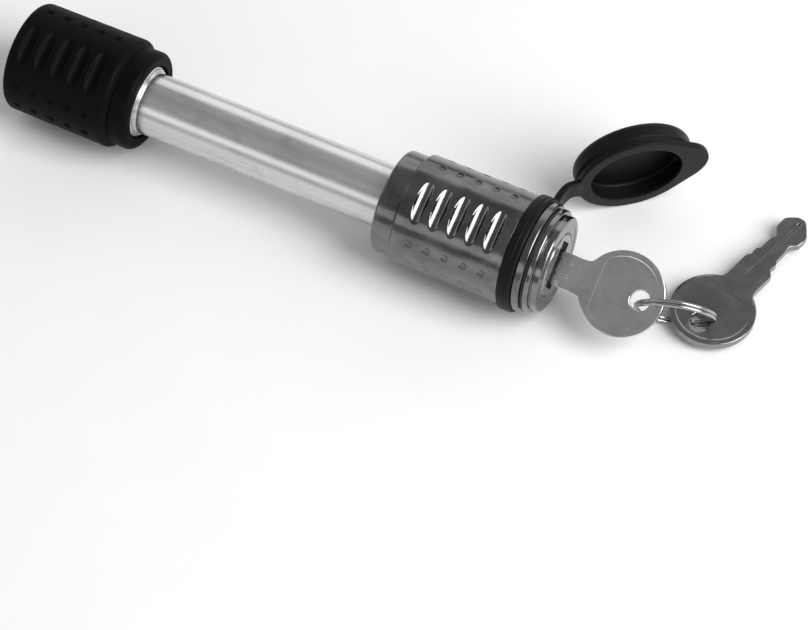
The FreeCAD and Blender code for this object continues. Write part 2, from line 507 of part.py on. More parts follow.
doc.recompute()
bad = [o.Name for o in doc.Objects if "Invalid" in o.State or "Error" in o.State]
if bad:
    raise RuntimeError("features failed: %s" % bad)
os.makedirs("parts", exist_ok=True)
for label, obj in NODES:
    shape = obj.Shape
    if shape.isNull() or not shape.isValid() or not shape.Solids:
        raise RuntimeError("bad shape: " + label)
    shape.exportStep("parts/%s.step" % label)
    b = shape.BoundBox
    print("%-16s solids %d  volume %9.2f  x %.2f..%.2f y %.2f..%.2f z %.2f..%.2f" % (
        label, len(shape.Solids), shape.Volume, b.XMin, b.XMax, b.YMin, b.YMax, b.ZMin, b.ZMax))
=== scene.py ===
import math

import bmesh
import bpy
import numpy as np
from mathutils import Matrix, Vector
from mathutils.geometry import tessellate_polygon


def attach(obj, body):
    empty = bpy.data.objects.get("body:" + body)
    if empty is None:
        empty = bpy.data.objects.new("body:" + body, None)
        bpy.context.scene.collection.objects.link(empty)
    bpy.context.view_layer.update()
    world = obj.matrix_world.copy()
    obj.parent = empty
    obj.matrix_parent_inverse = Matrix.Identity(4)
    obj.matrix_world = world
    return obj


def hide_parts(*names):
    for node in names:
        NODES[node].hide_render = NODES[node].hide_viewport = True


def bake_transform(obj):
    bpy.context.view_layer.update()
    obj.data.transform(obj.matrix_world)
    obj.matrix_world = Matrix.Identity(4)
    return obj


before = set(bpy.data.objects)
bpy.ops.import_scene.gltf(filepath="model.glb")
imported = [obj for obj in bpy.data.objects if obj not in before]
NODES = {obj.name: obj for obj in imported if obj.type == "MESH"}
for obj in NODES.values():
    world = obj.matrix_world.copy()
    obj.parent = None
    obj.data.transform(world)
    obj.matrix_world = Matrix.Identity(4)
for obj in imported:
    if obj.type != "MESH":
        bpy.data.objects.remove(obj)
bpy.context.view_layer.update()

MM = 0.001
ROLL = math.radians(32.4)
TALL = Vector((0, math.cos(ROLL), math.sin(ROLL)))
FLAT = Vector((0, -math.sin(ROLL), math.cos(ROLL)))


# ---------------------------------------------------------------- mesh tools
def new_object(name, verts, faces, material, angle=32.0, weighted=True, matrix=None):
    """A mesh from millimetre points, smooth shaded with its edges kept sharp above an angle."""
    mesh = bpy.data.meshes.new(name)
    mesh.from_pydata([tuple(v) for v in verts], [], faces)
    bm = bmesh.new()
    bm.from_mesh(mesh)
    bmesh.ops.remove_doubles(bm, verts=bm.verts, dist=1e-5)
    bmesh.ops.dissolve_degenerate(bm, dist=1e-6, edges=bm.edges)
    bmesh.ops.recalc_face_normals(bm, faces=bm.faces)
    bm.to_mesh(mesh)
    bm.free()
    move = Matrix.Diagonal((MM, MM, MM, 1))
    mesh.transform(move @ matrix if matrix is not None else move)
    for p in mesh.polygons:
        p.use_smooth = True
    mesh.set_sharp_from_angle(angle=math.radians(angle))
    mesh.materials.append(material)
    ob = bpy.data.objects.new(name, mesh)
    bpy.context.scene.collection.objects.link(ob)
    if weighted:
        m = ob.modifiers.new("even_normals", "WEIGHTED_NORMAL")
        m.keep_sharp = True
        m.weight = 60
    return ob


def rounded(points, steps=6, closed=False):
    """(x, r, fillet) corners to a polyline whose corners are arcs."""
    out = []
    n = len(points)
    for i, (x, r, f) in enumerate(points):
        p = Vector((x, r))
        if f <= 0 or (not closed and i in (0, n - 1)):
            out.append((x, r))
            continue
        a = Vector(points[i - 1][:2]) - p
        b = Vector(points[(i + 1) % n][:2]) - p
        la, lb = a.length, b.length
        a.normalize()
        b.normalize()
        ang = a.angle(b)
        if ang > math.pi - 0.02:
            out.append((x, r))
            continue
        t = min(f / math.tan(ang / 2), la * 0.48, lb * 0.48)
        rad = t * math.tan(ang / 2)
        c = p + (a + b).normalized() * (rad / math.sin(ang / 2))
        s, e = p + a * t - c, p + b * t - c
        for k in range(steps + 1):
            w = k / steps
            v = s.lerp(e, w) if s.angle(e) < 1e-4 else s.slerp(e, w)
            q = c + v.normalized() * rad
            out.append((q.x, q.y))
    return out


def revolve(profile, seg, closed=True, shape=None, phase=0.0):
    """Vertices and faces of a profile turned about X. shape(x, r, angle array, index) may give other radii."""
    verts, faces, rows = [], [], []
    ang = np.arange(seg) * (2 * math.pi / seg) + phase
    for i, (x, r) in enumerate(profile):
        if r < 1e-4:
            rows.append((len(verts), 1))
            verts.append((x, 0.0, 0.0))
            continue
        rr = np.full(seg, float(r))
        if shape is not None:
            rr = shape(x, rr, ang, i)
        rows.append((len(verts), seg))
        verts.extend(zip([x] * seg, (rr * np.cos(ang)).tolist(), (rr * np.sin(ang)).tolist()))
    m = len(profile)
    for i in range(m if closed else m - 1):
        (a, na), (b, nb) = rows[i], rows[(i + 1) % m]
        for k in range(seg):
            k1 = (k + 1) % seg
            if na == 1 and nb == 1:
                break
            if na == 1:
                faces.append((a, b + k, b + k1))
            elif nb == 1:
                faces.append((a + k, b, a + k1))
            else:
                faces.append((a + k, b + k, b + k1, a + k1))
    return verts, faces


def smooth_min(a, b, k):
    h = np.clip(0.5 + 0.5 * (b - a) / k, 0, 1)
    return b + (a - b) * h - k * h * (1 - h)


def spaced(a, b, step):
    n = max(1, int(round(abs(b - a) / step)))
    return [a + (b - a) * i / n for i in range(n + 1)]


GROUPS = [math.radians(115.4 + 120 * g) for g in range(3)]


def scooped(first, soft, dimple_soft):
    """Three groups of five scooped grooves, and a row of dimples on each side of a group."""
    xs = [first + 4.8 * i for i in range(5)]

    def shape(x, rr, ang, i):
        if rr[0] < 13.0 or x < xs[0] - 2.6 or x > xs[-1] + 2.6:
            return rr
        out = rr.copy()
        near = min(xs, key=lambda c: abs(c - x))
        dx = x - near
        for mid in GROUPS:
            phi = (ang - mid + math.pi) % (2 * math.pi) - math.pi
            live = np.abs(phi) < math.radians(40)
            depth = 14.54 - math.sqrt(max(1.69 ** 2 - dx * dx, 0.0)) + max(0.0, abs(dx) - 1.69) * 2.0
            cyl = np.where(live, depth / np.cos(np.where(live, phi, 0)), 99.0)
            out = smooth_min(out, cyl, soft)
            for s in (-1, 1):
                off = (ang - mid - s * math.radians(46.5) + math.pi) % (2 * math.pi) - math.pi
                d2 = 1.5 ** 2 - dx * dx - (15.02 * np.sin(off)) ** 2
                ball = np.where((np.abs(off) < 0.4) & (d2 > 0), 15.02 * np.cos(off) - np.sqrt(np.maximum(d2, 0)), 99.0)
                ball = np.where(ball > 50, 15.02 + np.sqrt(np.maximum(-d2, 0)) * 1.2, ball)
                out = smooth_min(out, ball, dimple_soft)
        return out

    return shape


def inset(loop, d):
    """Each corner of an anticlockwise loop moved inwards along its bisector."""
    n, out = len(loop), []
    for i in range(n):
        p0, p, p1 = Vector(loop[i - 1]), Vector(loop[i]), Vector(loop[(i + 1) % n])
        e0, e1 = (p - p0).normalized(), (p1 - p).normalized()
        n0, n1 = Vector((-e0.y, e0.x)), Vector((-e1.y, e1.x))
        b = n0 + n1
        b = n0.copy() if b.length < 1e-6 else b.normalized()
        q = p + b * (d / max(b.dot(n0), 0.55))
        out.append((q.x, q.y))
    return out


def circle(cx, cy, r, n, start=0.0):
    return [(cx + r * math.cos(start + 2 * math.pi * i / n), cy + r * math.sin(start + 2 * math.pi * i / n)) for i in range(n)]


def pill(u0, u1, v, half, n=8):
    """An anticlockwise slot outline with round ends."""
    pts = [(u1 - half + half * math.cos(a), v + half * math.sin(a)) for a in np.linspace(-math.pi / 2, math.pi / 2, n)]
    pts += [(u0 + half + half * math.cos(a), v + half * math.sin(a)) for a in np.linspace(math.pi / 2, 3 * math.pi / 2, n)]
    return pts


class Shell:
    """Collects loops, strips and flat regions of a plate."""

    def __init__(self):
        self.v, self.f = [], []

    def loop(self, pts, z):
        base = len(self.v)
        self.v.extend((x, y, z) for x, y in pts)
        return list(range(base, base + len(pts)))

    def strip(self, a, b):
        n = len(a)
        for i in range(n):
            self.f.append((a[i], a[(i + 1) % n], b[(i + 1) % n], b[i]))

    def flat(self, outer, holes=()):
        rings = [outer] + list(holes)
        ids = [i for r in rings for i in r]
        for t in tessellate_polygon([[Vector(self.v[i]) for i in r] for r in rings]):
            self.f.append(tuple(ids[k] for k in t))


def plate(outline, half, bevel, holes, pockets):
    """A bevelled plate. holes are through loops with a bevel each; pockets are (side, loop, depth, slope, hole numbers)."""
    s = Shell()
    rims = {}
    for side in (1, -1):
        prev = None
        for d, k in ((0.0, 1.0), (0.12, 0.62), (0.4, 0.22), (1.0, 0.0)):
            cur = s.loop(inset(outline, bevel * d), side * (half - bevel * k))
            if prev is not None:
                s.strip(prev, cur)
            else:
                rims[side] = cur
            prev = cur
        inner, taken = [], set()
        for p_side, loop, depth, slope, inside in pockets:
            if p_side != side:
                continue
            edge = [s.loop(inset(loop, slope * t), side * (half - depth * g)) for t, g in ((0, 0), (0.12, 0.10), (0.45, 0.62), (0.75, 0.92), (1.0, 1.0))]
            for a, b in zip(edge, edge[1:]):
                s.strip(a, b)
            inner.append(edge[0])
            floor_holes = []
            for h in inside:
                taken.add(h)
                floor_holes.append(hole_side(s, holes[h], side, half - depth))
            s.flat(edge[-1], floor_holes)
        for h in range(len(holes)):
            if h not in taken:
                inner.append(hole_side(s, holes[h], side, half))
        s.flat(prev, inner)
    s.strip(rims[1], rims[-1])
    for loop, b in holes:
        s.strip(s.loop(loop, half - b - 0.25), s.loop(loop, -(half - b - 0.25)))
    return s.v, s.f


def hole_side(s, hole, side, top):
    loop, b = hole
    rings = [s.loop(inset(loop, -b * t), side * (top - b * k)) for t, k in ((1.0, 0.0), (0.4, 0.22), (0.12, 0.62), (0.0, 1.0))]
    half = 0.95
    rings.append(s.loop(loop, side * (half - b - 0.25)))
    for a, c in zip(rings, rings[1:]):
        s.strip(a, c)
    return rings[0]


def sweep(path, frames, section, cap=True):
    """A closed section carried along a path. frames are (side, up) pairs; section(i) gives 2-D points."""
    v, f, rows = [], [], []
    for i, (p, (a, b)) in enumerate(zip(path, frames)):
        pts = section(i)
        rows.append(list(range(len(v), len(v) + len(pts))))
        v.extend(tuple(p + a * x + b * y) for x, y in pts)
    for r0, r1 in zip(rows, rows[1:]):
        n = len(r0)
        for k in range(n):
            f.append((r0[k], r0[(k + 1) % n], r1[(k + 1) % n], r1[k]))
    if cap:
        f.append(tuple(rows[0][::-1]))
        f.append(tuple(rows[-1]))
    return v, f


# ---------------------------------------------------------------- materials
class Mat:
    """A small node-building helper round one Principled material."""

    def __init__(self, name, metallic, ior=1.45, specular=0.5, coat=0.0, sheen=0.0, anisotropic=0.0):
        self.m = bpy.data.materials.new(name)
        self.m.use_nodes = True
        self.t = self.m.node_tree
        self.t.nodes.clear()
        self.out = self.t.nodes.new("ShaderNodeOutputMaterial")
        self.p = self.t.nodes.new("ShaderNodeBsdfPrincipled")
        self.t.links.new(self.p.outputs[0], self.out.inputs[0])
        self.p.inputs["Metallic"].default_value = metallic
        self.p.inputs["IOR"].default_value = ior
        self.p.inputs["Specular IOR Level"].default_value = specular
        self.p.inputs["Coat Weight"].default_value = coat
        self.p.inputs["Sheen Weight"].default_value = sheen
        self.p.inputs["Anisotropic"].default_value = anisotropic
        self.xyz = self.t.nodes.new("ShaderNodeTexCoord").outputs["Object"]

    def mapped(self, scale, rotation=(0, 0, 0), location=(0, 0, 0), source=None):
        n = self.t.nodes.new("ShaderNodeMapping")
        n.inputs["Scale"].default_value = scale
        n.inputs["Rotation"].default_value = rotation
        n.inputs["Location"].default_value = location
        self.t.links.new(source or self.xyz, n.inputs["Vector"])
        return n.outputs[0]

    def noise(self, vector, scale, detail=4.0, rough=0.55, distortion=0.0):
        n = self.t.nodes.new("ShaderNodeTexNoise")
        n.inputs["Scale"].default_value = scale
        n.inputs["Detail"].default_value = detail
        n.inputs["Roughness"].default_value = rough
        n.inputs["Distortion"].default_value = distortion
        self.t.links.new(vector, n.inputs["Vector"])
        return n.outputs["Fac"]

    def cells(self, vector, scale, feature="F1"):
        n = self.t.nodes.new("ShaderNodeTexVoronoi")
        n.feature = feature
        n.inputs["Scale"].default_value = scale
        self.t.links.new(vector, n.inputs["Vector"])
        return n.outputs["Distance"]

    def ramp(self, fac, stops):
        n = self.t.nodes.new("ShaderNodeValToRGB")
        els = n.color_ramp.elements
        while len(els) > 1:
            els.remove(els[-1])
        for i, (pos, c) in enumerate(stops):
            e = els[0] if i == 0 else els.new(pos)
            e.position = pos
            e.color = (c, c, c, 1) if not isinstance(c, tuple) else (*c, 1)
        self.t.links.new(fac, n.inputs[0])
        return n.outputs[0]

    def span(self, fac, lo, hi, a=0.0, b=1.0):
        n = self.t.nodes.new("ShaderNodeMapRange")
        n.inputs["From Min"].default_value = a
        n.inputs["From Max"].default_value = b
        n.inputs["To Min"].default_value = lo
        n.inputs["To Max"].default_value = hi
        self.t.links.new(fac, n.inputs["Value"])
        return n.outputs[0]

    def math(self, op, a, b):
        n = self.t.nodes.new("ShaderNodeMath")
        n.operation = op
        for k, s in ((0, a), (1, b)):
            if isinstance(s, (int, float)):
                n.inputs[k].default_value = s
            else:
                self.t.links.new(s, n.inputs[k])
        return n.outputs[0]

    def mix(self, kind, fac, a, b):
        n = self.t.nodes.new("ShaderNodeMix")
        n.data_type = "RGBA"
        n.blend_type = kind
        if isinstance(fac, (int, float)):
            n.inputs["Factor"].default_value = fac
        else:
            self.t.links.new(fac, n.inputs["Factor"])
        for k, s in ((6, a), (7, b)):
            if isinstance(s, (int, float)):
                n.inputs[k].default_value = (s, s, s, 1)
            else:
                self.t.links.new(s, n.inputs[k])
        return n.outputs[2]

    def bump(self, height, strength, distance, normal=None):
        n = self.t.nodes.new("ShaderNodeBump")
        n.inputs["Strength"].default_value = strength
        n.inputs["Distance"].default_value = distance
        self.t.links.new(height, n.inputs["Height"])
        if normal is not None:
            self.t.links.new(normal, n.inputs["Normal"])
        return n.outputs[0]

    def edges(self, radius):
        """How far a spot sits on an outer edge, from the angle between the bevelled and the true normal. The materials
        use it to paint a lighter base colour on outer edges, a painted edge highlight.
        """
        b = self.t.nodes.new("ShaderNodeBevel")
        b.samples = 4
        b.inputs["Radius"].default_value = radius
        g = self.t.nodes.new("ShaderNodeNewGeometry")
        d = self.t.nodes.new("ShaderNodeVectorMath")
        d.operation = "DOT_PRODUCT"
        self.t.links.new(b.outputs[0], d.inputs[0])
        self.t.links.new(g.outputs["Normal"], d.inputs[1])
        return self.span(d.outputs["Value"], 1.0, 0.0, 0.86, 0.99)

    def finish(self, colour, rough, normal=None):
        self.t.links.new(colour, self.p.inputs["Base Color"])
        self.t.links.new(rough, self.p.inputs["Roughness"])
        if normal is not None:
            self.t.links.new(normal, self.p.inputs["Normal"])
        return self.m


def brushed_zinc():
    m = Mat("pin_steel", 0.92)
    streak = m.noise(m.mapped((5, 620, 620)), 1.0, 6, 0.62)
    fine = m.noise(m.mapped((30, 2600, 2600), location=(3, 1, 2)), 1.0, 3, 0.6)
    band = m.noise(m.mapped((3, 150, 150), location=(7, 2, 5)), 1.0, 2, 0.4)
    stain = m.noise(m.mapped((60, 110, 110), location=(1, 9, 4)), 1.0, 6, 0.6, 0.5)
    col = m.mix("MIX", 0.45, m.ramp(streak, [(0.30, 0.50), (0.47, 0.66), (0.62, 0.74), (0.8, 0.80)]), m.ramp(band, [(0.34, 0.44), (0.5, 0.66), (0.66, 0.80)]))
    col = m.mix("MULTIPLY", 1.0, col, m.ramp(stain, [(0.30, 0.80), (0.48, 0.97), (0.7, 1.0)]))
    rough = m.span(m.math("ADD", m.math("MULTIPLY", streak, 0.5), m.math("MULTIPLY", stain, 0.5)), 0.20, 0.36, 0.3, 0.7)
    nrm = m.bump(fine, 0.25, 0.00002, m.bump(streak, 0.35, 0.00004))
    return m.finish(col, rough, nrm)


def rubber(name, lo, hi, r_lo, r_hi, grain=0.4, specular=0.45):
    m = Mat(name, 0.0, ior=1.5, specular=specular)
    cloud = m.noise(m.mapped((90, 90, 90)), 1.0, 5, 0.6)
    grit = m.noise(m.mapped((3200, 3200, 3200)), 1.0, 3, 0.7)
    pores = m.cells(m.mapped((2100, 2100, 2100)), 1.0)
    col = m.mix("MIX", 0.35, m.ramp(cloud, [(0.3, lo), (0.7, hi)]), m.ramp(grit, [(0.25, lo * 0.75), (0.75, hi * 1.15)]))
    # painted edge highlight: outer edges of the rubber lightened towards 1.35 times its lightest tone
    col = m.mix("MIX", m.edges(0.0004), col, hi * 1.35)
    rough = m.span(m.math("ADD", m.math("MULTIPLY", cloud, 0.6), m.math("MULTIPLY", grit, 0.4)), r_lo, r_hi, 0.3, 0.7)
    nrm = m.bump(pores, grain * 0.5, 0.00005, m.bump(grit, grain, 0.00006))
    return m.finish(col, rough, nrm)


def dark_chrome(name, lo, hi, r_lo, r_hi, ripple=0.5):
    m = Mat(name, 1.0)
    wave = m.noise(m.mapped((95, 95, 95)), 1.0, 2, 0.45)
    smear = m.noise(m.mapped((70, 130, 130), location=(4, 4, 1)), 1.0, 5, 0.6, 0.8)
    fine = m.noise(m.mapped((1500, 1500, 1500)), 1.0, 3, 0.6)
    specks = m.cells(m.mapped((420, 420, 420), location=(2, 5, 3)), 1.0)
    col = m.ramp(smear, [(0.28, lo), (0.5, (lo + hi) / 2), (0.72, hi)])
    col = m.mix("MULTIPLY", 0.5, col, m.ramp(specks, [(0.03, 0.55), (0.09, 1.0)]))
    # painted edge highlight: outer edges of the chrome brightened towards 1.6 times its lightest tone
    col = m.mix("MIX", m.edges(0.00022), col, hi * 1.6)
    rough = m.span(smear, r_lo, r_hi, 0.3, 0.7)
    dapple = m.noise(m.mapped((430, 430, 430), location=(6, 3, 8)), 1.0, 3, 0.5)
    nrm = m.bump(fine, 0.10, 0.00002, m.bump(dapple, 0.3, 0.0001, m.bump(wave, ripple, 0.0004)))
    return m.finish(col, rough, nrm)


def nickel(name, lo, hi, r_lo, r_hi, turn=0.0):
    m = Mat(name, 1.0)
    rub = m.noise(m.mapped((500, 2600, 500), rotation=(0.3, 0.2, 0.5 + turn)), 1.0, 4, 0.6)
    scratch = m.noise(m.mapped((40, 5200, 900), rotation=(0.1, 0.7, 1.1 + turn)), 1.0, 2, 0.5)
    cloud = m.noise(m.mapped((130, 130, 130), location=(5, 1, 3)), 1.0, 5, 0.6, 0.4)
    col = m.ramp(cloud, [(0.28, lo), (0.5, (lo + hi) / 2), (0.75, hi)])
    col = m.mix("MULTIPLY", 0.6, col, m.ramp(scratch, [(0.27, 0.62), (0.36, 1.0)]))
    # painted edge highlight: outer edges of the nickel brightened towards 1.3 times its lightest tone, at most 0.95
    col = m.mix("MIX", m.edges(0.00018), col, min(hi * 1.3, 0.95))
    rough = m.span(m.math("ADD", m.math("MULTIPLY", rub, 0.5), m.math("MULTIPLY", cloud, 0.5)), r_lo, r_hi, 0.3, 0.7)
    nrm = m.bump(scratch, 0.18, 0.00002, m.bump(rub, 0.14, 0.00002))
    return m.finish(col, rough, nrm)


def coloured(name, a, b, r_lo, r_hi, scale=300):
    m = Mat(name, 1.0)
    cloud = m.noise(m.mapped((scale, scale, scale)), 1.0, 5, 0.6, 0.3)
    turn = m.noise(m.mapped((4000, 160, 160)), 1.0, 2, 0.5)
    col = m.ramp(cloud, [(0.3, a), (0.7, b)])
    rough = m.span(cloud, r_lo, r_hi, 0.3, 0.7)
    return m.finish(col, rough, m.bump(turn, 0.2, 0.00002))


MATS = {
    "pin_steel": brushed_zinc(),
    "grip_rubber": rubber("grip_rubber", 0.002, 0.0045, 0.44, 0.60, 0.4, 0.05),
    "lock_chrome": dark_chrome("lock_chrome", 0.11, 0.23, 0.14, 0.26, 0.6),
    "face_chrome": dark_chrome("face_chrome", 0.16, 0.25, 0.10, 0.20, 0.35),
    "hard_steel": nickel("hard_steel", 0.40, 0.55, 0.20, 0.32),
    "cylinder_brass": coloured("cylinder_brass", (0.42, 0.30, 0.12), (0.62, 0.46, 0.20), 0.25, 0.4),
    "wafer_brass": coloured("wafer_brass", (0.50, 0.38, 0.17), (0.70, 0.54, 0.26), 0.22, 0.36, 700),
    "plug_nickel": nickel("plug_nickel", 0.26, 0.38, 0.16, 0.30, 0.4),
    "spring_steel": nickel("spring_steel", 0.45, 0.60, 0.25, 0.35, 0.9),
    "seal_rubber": rubber("seal_rubber", 0.012, 0.022, 0.45, 0.6, 0.3),
    "band_rubber": rubber("band_rubber", 0.004, 0.007, 0.38, 0.52, 0.16, 0.13),
    "key_nickel": nickel("key_nickel", 0.56, 0.74, 0.14, 0.26, 0.2),
    # painted shade: a darker copy of the key nickel (0.21 to 0.30 against 0.56 to 0.74) gives the spare key a shaded
    # tone
    "spare_key_shaded_nickel": nickel("key_nickel_shaded", 0.21, 0.30, 0.16, 0.28, 1.3),
    "ring_steel": nickel("ring_steel", 0.30, 0.46, 0.10, 0.20, 0.6),
}

SLOT_OF = {
    "pin_shaft": "pin_steel", "grip_cover": "grip_rubber", "lock_body": "lock_chrome", "ball_sleeve": "hard_steel",
    "latch_ball_a": "hard_steel", "latch_ball_b": "hard_steel", "cam_ring": "hard_steel", "tail_bar": "hard_steel",
    "cylinder_shell": "cylinder_brass", "plug": "plug_nickel", "wafers": "wafer_brass", "wafer_springs": "spring_steel",
    "plug_clip": "spring_steel", "set_pin": "spring_steel", "face_ring": "face_chrome", "face_gasket": "seal_rubber",
    "shaft_seal": "seal_rubber", "cap_band": "band_rubber", "cap_strap": "band_rubber", "dust_cap": "band_rubber",
    "key_1": "key_nickel", "key_2": "key_nickel", "split_ring": "ring_steel",
}
for name, ob in NODES.items():
    mat = MATS[SLOT_OF[name]]
    if len(ob.material_slots) == 0:
        ob.data.materials.append(mat)
    for sl in ob.material_slots:
        sl.material = mat


def stand_in(ob, node, body):
    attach(ob, body)
    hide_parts(node)
    return ob


# ---------------------------------------------------------------- pin
pin_profile = rounded([
    (-66.0, 0, 0), (-66.0, 10.9, 0.8), (-36.25, 10.9, 0.1), (-36.25, 9.25, 0.08), (-34.62, 9.25, 0.22), (-34.42, 8.95, 0.1),
    (-34.3, 8.72, 0.12), (-34.02, 8.66, 0.14), (-33.95, 8.25, 0.08), (-33.62, 8.12, 0.10), (-33.55, 7.9375, 0.06),
    (33.75, 7.9375, 0.25), (33.75, 6.0, 0.1), (35.0, 6.0, 0.12), (35.0, 5.0, 0.15), (36.8, 5.0, 0.15), (36.8, 6.0, 0.12),
    (40.3, 6.0, 0.1), (41.1, 5.0, 0.3), (44.1, 5.0, 0.3), (44.9, 6.0, 0.1), (45.8, 6.0, 0.3), (47.4, 4.4, 0.4), (47.4, 0, 0),
], 5)
v, f = revolve(pin_profile, 256, closed=False)
stand_in(new_object("pin_finish", v, f, MATS["pin_steel"], 40), "pin_shaft", "pin_body")

# ---------------------------------------------------------------- rubber grip
grip_corners = [
    (-68.5, 0, 0), (-68.5, 14.0, 1.65), (-40.0, 14.2, 1.9), (-39.2, 12.45, 0.12), (-38.9, 12.75, 0.5), (-34.0, 12.87, 1.9),
    (-34.0, 9.62, 0.3), (-36.1, 9.62, 0.1), (-36.1, 11.0, 0.1), (-66.1, 11.0, 0.1), (-66.1, 0, 0),
]
grip_profile = rounded(grip_corners, 9)
dense = []
for (x0, r0), (x1, r1) in zip(grip_profile, grip_profile[1:]):
    dense.append((x0, r0))
    if r0 > 13 and r1 > 13 and x1 - x0 > 3:
        for x in spaced(x0, x1, 0.17)[1:-1]:
            dense.append((x, r0 + (r1 - r0) * (x - x0) / (x1 - x0)))
dense.append(grip_profile[-1])
v, f = revolve(dense, 600, closed=False, shape=scooped(-64.15, 0.2, 0.2))
stand_in(new_object("grip_finish", v, f, MATS["grip_rubber"], 50), "grip_cover", "pin_body")

# ---------------------------------------------------------------- lock body
lock_corners = [
    (33.78, 6.1, 0.1), (33.78, 13.0, 0.75), (39.0, 13.02, 0.12), (39.62, 14.0, 0.35), (67.95, 14.0, 0.28), (68.05, 13.55, 0.05),
    (68.05, 12.9, 0), (71.55, 12.9, 0), (71.55, 13.8, 0.32), (73.55, 13.8, 0.42), (73.55, 11.4, 0), (37.75, 11.4, 0), (37.75, 6.1, 0),
]
lock_profile = rounded(lock_corners, 6, closed=True)
dense = []
for i, (x0, r0) in enumerate(lock_profile):
    x1, r1 = lock_profile[(i + 1) % len(lock_profile)]
    dense.append((x0, r0))
    if r0 > 13.9 and r1 > 13.9 and x1 - x0 > 3:
        for x in spaced(x0, x1, 0.15)[1:-1]:
            dense.append((x, 14.0))
v, f = revolve(dense, 640, closed=True, shape=scooped(44.3, 0.16, 0.16))
stand_in(new_object("lock_finish", v, f, MATS["lock_chrome"], 50), "lock_body", "lock_head")

# ---------------------------------------------------------------- face ring and gasket
face_corners = [
    (71.0, 9.95, 0), (71.0, 11.35, 0), (74.25, 11.35, 0), (74.25, 13.2, 0.35), (75.62, 13.2, 0.45), (75.62, 11.9, 0.05),
    (75.95, 11.9, 0.05), (76.0, 12.15, 0.12), (77.55, 12.15, 0.42), (77.55, 10.55, 0.08), (77.42, 10.4, 0.05), (77.42, 8.5, 0.08),
    (77.3, 8.25, 0.06), (74.6, 8.25, 0), (74.6, 9.95, 0),
]
v, f = revolve(rounded(face_corners, 6, closed=True), 288)
stand_in(new_object("face_ring_finish", v, f, MATS["face_chrome"], 40), "face_ring", "lock_head")
v, f = revolve(rounded([(73.56, 11.45, 0), (73.56, 12.9, 0.2), (74.24, 12.9, 0.2), (74.24, 11.45, 0)], 4, closed=True), 220)
stand_in(new_object("face_gasket_finish", v, f, MATS["seal_rubber"], 40), "face_gasket", "lock_head")

# ---------------------------------------------------------------- band and strap
band_corners = [
    (68.09, 12.9, 0), (68.09, 14.66, 0.42), (69.95, 14.72, 0.14), (70.12, 14.48, 0.12), (70.30, 14.70, 0.14), (71.51, 14.64, 0.45), (71.51, 12.9, 0),
]
v, f = revolve(rounded(band_corners, 6, closed=True), 288)
stand_in(new_object("cap_band_finish", v, f, MATS["band_rubber"], 40), "cap_band", "lock_head")

CX = Vector((-0.642, 0.751, 0.154)).normalized()
CY = Vector((-0.78, -0.63, -0.10))
CY = (CY - CX * CX.dot(CY)).normalized()
CZ = CX.cross(CY)
CAP_BASE = Vector((83.47, 33.26, 0.0))
CAP = Matrix(((CX.x, CY.x, CZ.x, CAP_BASE.x), (CX.y, CY.y, CZ.y, CAP_BASE.y), (CX.z, CY.z, CZ.z, CAP_BASE.z), (0, 0, 0, 1)))


def catmull(points, per):
    out = []
    p = [Vector(q) for q in points]
    p = [p[0] * 2 - p[1]] + p + [p[-1] * 2 - p[-2]]
    for i in range(1, len(p) - 2):
        for k in range(per):
            t = k / per
            a, b, c, d = p[i - 1], p[i], p[i + 1], p[i + 2]
            out.append(0.5 * ((2 * b) + (c - a) * t + (2 * a - 5 * b + 4 * c - d) * t * t + (3 * b - a - 3 * c + d) * t ** 3))
    out.append(p[-2])
    return out


rim_at = CAP_BASE + CX * 0.76 + CY * 13.1
strap_path = catmull([(69.8, 13.7, 0), (69.8, 15.6, 0), (69.78, 17.6, 0), (69.98, 19.6, 0), (70.5, 21.4, 0), (71.4, 22.95, -0.3), tuple(rim_at)], 9)
strap_frames = []
for i, p in enumerate(strap_path):
    a, b = strap_path[max(i - 1, 0)], strap_path[min(i + 1, len(strap_path) - 1)]
    along = (b - a).normalized()
    w = min(1.0, max(0.0, (i - 30) / (len(strap_path) - 31)))
    wide = Vector((0, 0, 1)).lerp(CZ if CZ.z > 0 else -CZ, w)
    wide = (wide - along * wide.dot(along)).normalized()
    strap_frames.append((wide.cross(along).normalized(), wide))


def strap_section(i):
    n = len(strap_path) - 1
    root = max(0.0, 1 - i / 14.0)
    tip = max(0.0, (i - (n - 10)) / 10.0)
    thick = 0.85 + 0.55 * root * root - 0.2 * tip
    half = 2.6 + 1.1 * root * root + 1.3 * tip * tip
    pts = []
    for sx, sy, a0 in ((1, 1, 0), (-1, 1, 90), (-1, -1, 180), (1, -1, 270)):
        for k in range(5):
            a = math.radians(a0 + 22.5 * k)
            pts.append((sx * (thick - 0.4) + 0.4 * math.cos(a), sy * (half - 0.4) + 0.4 * math.sin(a)))
    return pts


v, f = sweep(strap_path, strap_frames, strap_section)
strap = new_object("cap_strap_finish", v, f, MATS["band_rubber"], 50)
strap.data.materials[0] = MATS["band_rubber"]
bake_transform(strap)
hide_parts("cap_strap")

# ---------------------------------------------------------------- dust cap
def tab_radius(a):
    """Distance from the cap's centre to the tab's edge in the direction a from the tab's axis."""
    if a < math.radians(25.5):
        return 9.3 * math.cos(a) + math.sqrt(81.0 - 86.49 * math.sin(a) ** 2)
    if a < math.radians(52):
        return 14.73 / math.cos(math.radians(52) - a)
    return 14.73


